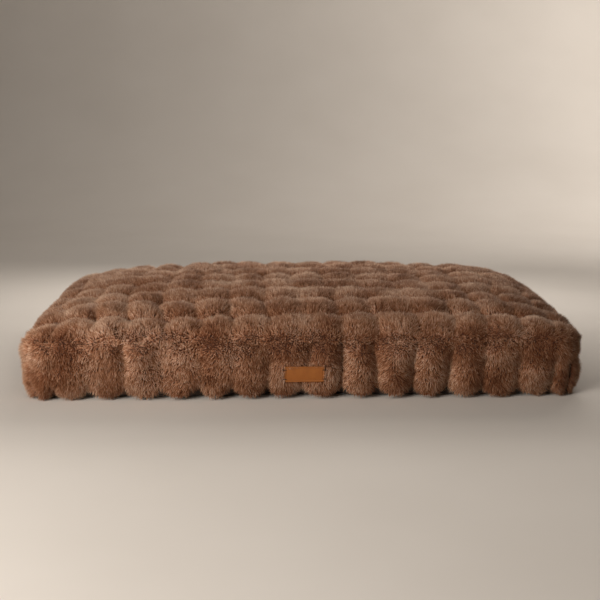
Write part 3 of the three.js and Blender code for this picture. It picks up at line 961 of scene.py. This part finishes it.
def leather_label():
    """A stiff patch with round corners and a plain pressed line inside its edge."""
    low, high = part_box("leather_label")
    centre = (low + high) / 2
    length, thickness, width = high.x - low.x, 0.0018, 0.030
    piece = block("leather_patch", (length, thickness, width))
    bpy.ops.object.mode_set(mode="EDIT")
    select_edges(piece, lambda a, b: abs(a.y - b.y) > thickness / 2)
    bpy.ops.mesh.bevel(offset=0.004, segments=6, affect="EDGES")
    select_faces(piece, lambda normal: normal.y < -0.9)
    bpy.ops.mesh.inset(thickness=0.0024)
    bpy.ops.mesh.inset(thickness=0.0004)
    bpy.ops.transform.translate(value=(0, 0.0006, 0))
    bpy.ops.mesh.inset(thickness=0.0006)
    bpy.ops.mesh.inset(thickness=0.0004)
    bpy.ops.transform.translate(value=(0, -0.0006, 0))
    bpy.ops.object.mode_set(mode="OBJECT")
    rounded_edges(piece, 0.00035, 3, 50, 35)
    sewn_on(piece, centre)
    dressed(piece, LEATHER, "leather_label")


def tube(path, radius, sides):
    """A closed round bar along a path: its points and its triangles."""
    path = np.asarray(path, float)
    ahead = unit(np.gradient(path, axis=0))
    side = unit(np.cross(ahead, [0.13, 0.21, 0.97]))
    other = np.cross(ahead, side)
    turn = 2 * math.pi * np.arange(sides) / sides
    ring = side[:, None] * np.cos(turn)[None, :, None] + other[:, None] * np.sin(turn)[None, :, None]
    points = (path[:, None] + radius * ring).reshape(-1, 3)
    k = np.arange(sides)
    after = (k + 1) % sides
    first = (np.arange(len(path) - 1) * sides)[:, None]
    beyond = first + sides
    quads = np.stack([first + k, first + after, beyond + after, beyond + k], axis=-1).reshape(-1, 4)
    faces = np.concatenate([quads[:, [0, 1, 2]], quads[:, [0, 2, 3]]])
    points = np.concatenate([points, path[:1], path[-1:]])
    start, end = len(points) - 2, len(points) - 1
    last = (len(path) - 1) * sides
    caps = [(start, b, a) for a, b in zip(k, after)] + [(end, last + a, last + b) for a, b in zip(k, after)]
    return points, np.concatenate([faces, caps])


def tubes(name, paths, radius, sides):
    """One piece made of many bars."""
    all_points, all_faces, count = [], [], 0
    for path in paths:
        points, faces = tube(path, radius, sides)
        all_points.append(points)
        all_faces.append(faces + count)
        count += len(points)
    return mesh_piece(name, np.concatenate(all_points), np.concatenate(all_faces))


def bar_tack(node):
    """A bar tack: close zigzag stitches that arch out from the cloth."""
    low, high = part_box(node)
    centre = (low + high) / 2
    length, width = high.x - low.x, 0.0016
    stitches = []
    for k in range(13):
        x = (k / 12 - 0.5) * (length - 0.0006)
        slant = 0.0002 * (-1) ** k
        arch = np.linspace(-1, 1, 5)
        forward = -0.0002 - 0.0004 * (1 - arch**2)
        stitches.append(np.stack([x + slant * arch, forward, arch * width / 2], axis=1))
    piece = tubes(node.replace("label_tack", "tack_stitches"), stitches, 0.00028, 6)
    sewn_on(piece, centre)
    dressed(piece, THREAD, node)


def ribbon_grid(low, high, grid):
    """Places along a box and shares of its height, for a grid of this many columns and rows."""
    columns, rows = grid
    x, t = np.meshgrid(np.linspace(low.x, high.x, columns), np.linspace(0, 1, rows))
    return x.ravel(), t.ravel()


def ribbon(name, node, points, grid, thickness, material):
    """A narrow sheet of cloth at the back border, whose outside is a grid of points."""
    piece = mesh_piece(name, points, grid_faces(*grid)[:, ::-1])
    with_thickness(piece, thickness)
    dressed(piece, material, node)


def care_label():
    """A blank satin ribbon, sewn in at its lower edge and gently waved."""
    low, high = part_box("care_label")
    grid = (22, 26)
    x, t = ribbon_grid(low, high, grid)
    z = low.z + 0.0005 + t * (high.z - low.z - 0.001)
    away = HALF_WIDTH - wall_inset(z) - 0.0016
    y = away + 0.0012 * np.sin(t * 4.1) * t + 0.0006 * np.sin((x - low.x) * 240) * t
    points = np.stack([x, y, z], axis=1)
    ribbon("care_ribbon", "care_label", points, grid, 0.0005, SATIN)


def zip_tape(name, node, edge_up):
    """A woven tape with a corded edge beside the chain."""
    low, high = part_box(node)
    grid = (160, 9)
    x, t = ribbon_grid(low, high, grid)
    z = low.z + t * (high.z - low.z)
    from_chain = (high.z - z) if edge_up else (z - low.z)
    drawn = TAPE_GAP * smooth((np.abs(x) - CHAIN_END) / 0.004) * (1 - from_chain / (high.z - low.z))
    z += drawn if edge_up else -drawn
    bead = 0.00022 * np.exp(-((from_chain - 0.0008) / 0.0006) ** 2)
    wave = 0.00018 * np.sin(x * 70) * np.clip(from_chain / 0.006, 0, 1)
    y = (low.y + high.y) / 2 + 0.0003 + bead + wave
    points = np.stack([x, y, z], axis=1)
    ribbon(name, node, points, grid, 0.0007, TAPE_WEAVE)


def zip_coil(name, node, side):
    """One row of moulded coil: a flattened helix whose turns reach in between the other row's."""
    low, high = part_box(node)
    wire, pitch, steps = 0.00034, 0.0021, 8
    turns = int((high.x - low.x - 2 * wire) / pitch)
    angle = 2 * math.pi * np.arange(turns * steps + 1) / steps + (math.pi if side > 0 else 0)
    x = low.x + wire + pitch * np.arange(turns * steps + 1) / steps
    half_depth = (high.y - low.y) / 2 - wire
    half_height = (high.z - low.z) / 2 - wire
    y = (low.y + high.y) / 2 + half_depth * np.sin(angle)
    towards = np.maximum(0, np.cos(angle)) * 0.0002
    z = (low.z + high.z) / 2 - side * (half_height * np.cos(angle) + towards)
    dressed(tubes(name, [np.stack([x, y, z], axis=1)], wire, 5), NYLON, node)


def softened(node, name, body, width):
    """A CAD piece again, with its edges broken."""
    piece = new_object(name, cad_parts[node].data.copy())
    piece.data.materials.clear()
    select_only(piece)
    bpy.ops.object.mode_set(mode="EDIT")
    bpy.ops.mesh.select_all(action="SELECT")
    bpy.ops.mesh.remove_doubles(threshold=0.00001)
    bpy.ops.mesh.dissolve_limited(angle_limit=math.radians(4))
    bpy.ops.mesh.normals_make_consistent(inside=False)
    bpy.ops.object.mode_set(mode="OBJECT")
    rounded_edges(piece, width, 2, 40, 40)
    dressed(piece, ZIP_METAL, node, body)


def zip_pieces():
    zip_tape("tape_lower", "zip_tape_lower", True)
    zip_tape("tape_upper", "zip_tape_upper", False)
    zip_coil("coil_lower", "zip_coil_lower", -1)
    zip_coil("coil_upper", "zip_coil_upper", 1)
    softened("zip_slider", "slider", "slider", 0.00025)
    softened("zip_puller", "puller", "puller", 0.0003)
    for node in ("zip_top_stop_lower", "zip_top_stop_upper", "zip_bottom_stop"):
        softened(node, node.replace("zip_", ""), "bed", 0.0003)


# ---- stage, light and camera


def studio_floor():
    """A pale floor that curves up into a plain wall on every side."""
    side, front, back, corner, sweep, height = 5.5, -5.5, 2.0, 1.4, 2.2, 5.0
    outline, away = [], []
    for k, (x, y) in enumerate([(side, back), (-side, back), (-side, front), (side, front)]):
        middle = np.array([x - math.copysign(corner, x), y - math.copysign(corner, y)])
        for turn in np.linspace(k * math.pi / 2, (k + 1) * math.pi / 2, 17):
            away.append((math.cos(turn), math.sin(turn)))
            outline.append(middle + corner * np.array(away[-1]))
    outline, away = np.array(outline), np.array(away)
    steps = [(sweep * math.sin(t), sweep * (1 - math.cos(t))) for t in np.linspace(0, math.pi / 2, 25)]
    rings = [np.column_stack([outline, np.zeros(len(outline))])]
    for out, up in steps[1:] + [(sweep, height)]:
        rings.insert(0, np.column_stack([outline + away * out, np.full(len(outline), up)]))
    floor = mesh_piece("studio_floor", np.concatenate(rings), ring_faces(len(outline), len(rings)))
    capped(floor, ring_at(len(rings) - 1, len(outline)))
    material, nodes, links, shader = new_material("studio_paper")
    place = nodes.new("ShaderNodeTexCoord")
    fleck = add_node(nodes, "ShaderNodeTexNoise", Scale=3.0, Detail=3.0)
    shade = ramp(nodes, [(0.3, (0.70, 0.640, 0.575)), (0.7, (0.73, 0.670, 0.605))])
    join(links, place, "Object", fleck, "Vector")
    join(links, fleck, "Fac", shade, "Fac")
    join(links, shade, "Color", shader, "Base Color")
    shader.inputs["Roughness"].default_value = 0.9
    shader.inputs["Specular IOR Level"].default_value = 0.1
    floor.data.materials.append(material)


def lamp(name, place, target, size, power, colour, spread=math.pi):
    light = bpy.data.lights.new(name, "AREA")
    light.shape = "RECTANGLE"
    light.size, light.size_y = size
    light.energy = power
    light.color = colour
    light.spread = spread
    piece = new_object(name, light)
    piece.location = place
    aim = Vector(target) - Vector(place)
    piece.rotation_euler = aim.to_track_quat("-Z", "Y").to_euler()
    piece.visible_camera = False


WARM = (1.0, 0.96, 0.915)


def studio_light():
    world = bpy.data.worlds.new("studio")
    bpy.context.scene.world = world
    world.use_nodes = True
    background = world.node_tree.nodes["Background"]
    background.inputs["Color"].default_value = (0.66, 0.60, 0.54, 1)
    background.inputs["Strength"].default_value = 0.06
    lamp("key_light", (-1.5, -2.3, 0.95), (-0.15, -0.3, 0.08), (1.2, 0.9), 37, WARM)
    lamp("front_light", (-0.2, -1.2, 1.5), (-0.1, -0.75, 0.0), (1.8, 0.5), 2.8, WARM)
    lamp("near_light", (-1.3, -1.5, 0.7), (-0.3, -0.2, 0.10), (0.8, 0.6), 13, WARM)
    lamp("back_light", (1.2, 2.6, 2.4), (0.05, 0.3, 0.1), (2.4, 1.2), 10, WARM, 2.0)
    lamp("rim_light", (0.1, 0.80, 0.62), (0.0, 0.12, 0.15), (1.5, 0.25), 7, WARM)
    lamp("backdrop_light", (2.7, 1.2, 1.7), (1.9, 4.2, 0.7), (1.8, 1.8), 64, WARM, 2.7)


def camera():
    """A long-ish lens, low in front of the bed and a little to the left of square on."""
    lens = bpy.data.cameras.new("camera")
    eye = new_object("camera", lens)
    lens.lens = 68.0
    lens.sensor_width = 36
    lens.clip_start, lens.clip_end = 0.05, 60
    turn, pitch = -0.032, 0.1825
    eye.location = Matrix.Rotation(turn, 4, "Z") @ Vector((0.003, -HALF_WIDTH - 1.92, 0.536))
    eye.rotation_euler = (math.pi / 2 - pitch, 0, turn)
    bpy.context.scene.camera = eye


inner_pad()
top_cover()
base_cover(np.concatenate([
    border("front", 2 * HALF_LENGTH, HALF_WIDTH, column_groove, 0, 201,
           shaped=pressed_under_label, skip=behind_label),
    border("right", 2 * HALF_WIDTH, HALF_LENGTH, row_groove, math.pi / 2, 301),
    border("back", 2 * HALF_LENGTH, HALF_WIDTH, column_groove, math.pi, 401,
           shaped=sewn_to_zip, open_at=in_notch, skip=off_back),
    border("left", 2 * HALF_WIDTH, HALF_LENGTH, row_groove, -math.pi / 2, 501),
]))
leather_label()
for tack in [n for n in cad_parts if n.startswith("label_tack")]:
    bar_tack(tack)
care_label()
zip_pieces()
studio_floor()
studio_light()
camera()
bpy.context.scene.view_settings.view_transform = "Standard"
